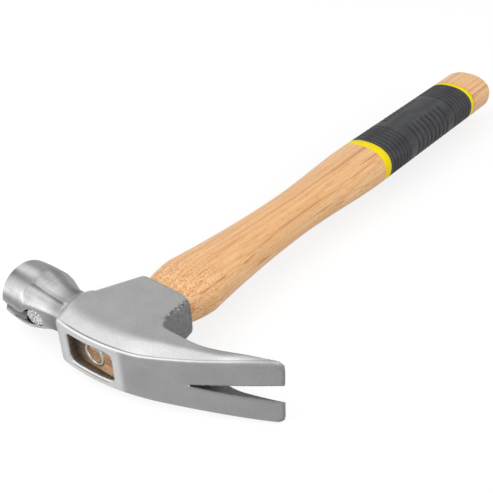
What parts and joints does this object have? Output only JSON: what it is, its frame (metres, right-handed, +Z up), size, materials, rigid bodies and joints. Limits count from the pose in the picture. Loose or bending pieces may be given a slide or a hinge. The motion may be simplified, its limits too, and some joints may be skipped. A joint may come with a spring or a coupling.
{
  "type": "claw hammer",
  "caption": "Claw hammer with a forged steel head, a magnetic nail-starter groove in its round poll, a wedged hardwood handle and a ribbed rubber grip between yellow bands.",
  "frame": {"origin": "middle of the underside of the bounding box, with the hammer lying on its side", "axes": "+X from the striking face to the claw, +Y from the head to the butt, +Z up through the cheek"},
  "size_m": [0.1366, 0.331, 0.0329],
  "materials": {
    "forged_steel": "satin ground, polished poll",
    "magnet": "rough plated",
    "hardwood": "clear lacquer",
    "wedge_wood": "bare end grain",
    "wedge_steel": "plain",
    "band_yellow": "satin",
    "grip_rubber": "matt, ribbed"
  },
  "bodies": {
    "root": {"hammer_head": "forged_steel", "nail_magnet": "magnet", "handle": "hardwood", "wooden_wedge": "wedge_wood", "ring_wedge": "wedge_steel", "front_band": "band_yellow", "grip_sleeve": "grip_rubber", "rear_band": "band_yellow"}
  },
  "joints": []
}
